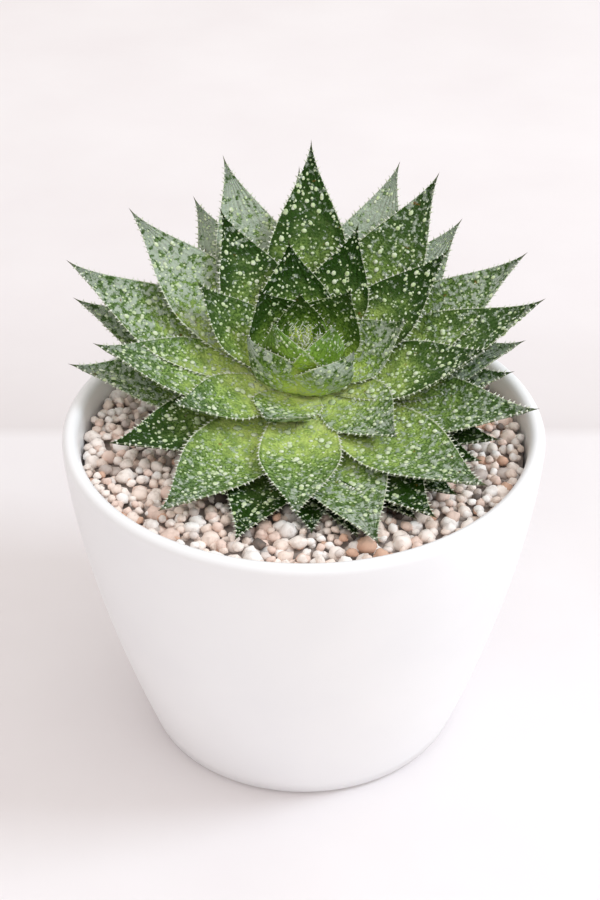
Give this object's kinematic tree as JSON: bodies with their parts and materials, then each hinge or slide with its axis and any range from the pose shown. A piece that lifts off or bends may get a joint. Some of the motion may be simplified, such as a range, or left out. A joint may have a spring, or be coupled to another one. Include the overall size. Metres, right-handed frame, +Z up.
{
  "type": "potted lace aloe",
  "caption": "Rosette succulent with thick toothed leaves on a short stem, in soil and rounded gravel, in a tapering round pot.",
  "frame": {"origin": "centre of the pot's flat foot, on the surface it stands on", "axes": "+Z up along the pot's axis; the rosette leans toward -Y, the side seen from the front"},
  "size_m": [0.1312, 0.143, 0.1497],
  "materials": {
    "glazed_pot": "satin white glaze",
    "soil": "loose dark potting mix",
    "gravel": "rounded matt pebbles in cream, pink, tan and grey",
    "stem": "matt green-brown living stem; wood stands in for plant tissue",
    "young_leaf": "waxy lime green living leaf; wood stands in for plant tissue",
    "middle_leaf": "waxy green living leaf with white dots; wood stands in for plant tissue",
    "old_leaf": "waxy grey-green living leaf with white dots; wood stands in for plant tissue"
  },
  "bodies": {
    "root": {"pot": "glazed_pot", "potting_soil": "soil", "gravel": "gravel", "stem": "stem", "heart": "young_leaf", "leaf_01": "young_leaf", "leaf_02": "young_leaf", "leaf_03": "young_leaf", "leaf_04": "young_leaf", "leaf_05": "young_leaf", "leaf_06": "young_leaf", "leaf_07": "young_leaf", "leaf_08": "young_leaf", "leaf_09": "young_leaf", "leaf_10": "middle_leaf", "leaf_11": "middle_leaf", "leaf_12": "middle_leaf", "leaf_13": "middle_leaf", "leaf_14": "middle_leaf", "leaf_15": "middle_leaf", "leaf_16": "middle_leaf", "leaf_17": "middle_leaf", "leaf_18": "middle_leaf", "leaf_19": "middle_leaf", "leaf_20": "middle_leaf", "leaf_21": "middle_leaf", "leaf_22": "middle_leaf", "leaf_23": "old_leaf", "leaf_24": "old_leaf", "leaf_25": "old_leaf", "leaf_26": "old_leaf", "leaf_27": "old_leaf", "leaf_28": "old_leaf", "leaf_29": "old_leaf", "leaf_30": "old_leaf", "leaf_31": "old_leaf", "leaf_32": "old_leaf", "leaf_33": "old_leaf", "leaf_34": "old_leaf", "leaf_35": "old_leaf", "leaf_36": "old_leaf", "leaf_37": "old_leaf", "leaf_38": "old_leaf", "leaf_39": "old_leaf", "leaf_40": "old_leaf", "leaf_41": "old_leaf", "leaf_42": "old_leaf", "leaf_43": "old_leaf", "leaf_44": "old_leaf", "leaf_45": "old_leaf", "leaf_46": "old_leaf", "leaf_47": "old_leaf", "leaf_48": "old_leaf", "leaf_49": "old_leaf", "leaf_50": "old_leaf", "leaf_51": "old_leaf", "leaf_52": "old_leaf", "leaf_53": "old_leaf", "leaf_54": "old_leaf", "leaf_55": "old_leaf"}
  },
  "joints": []
}
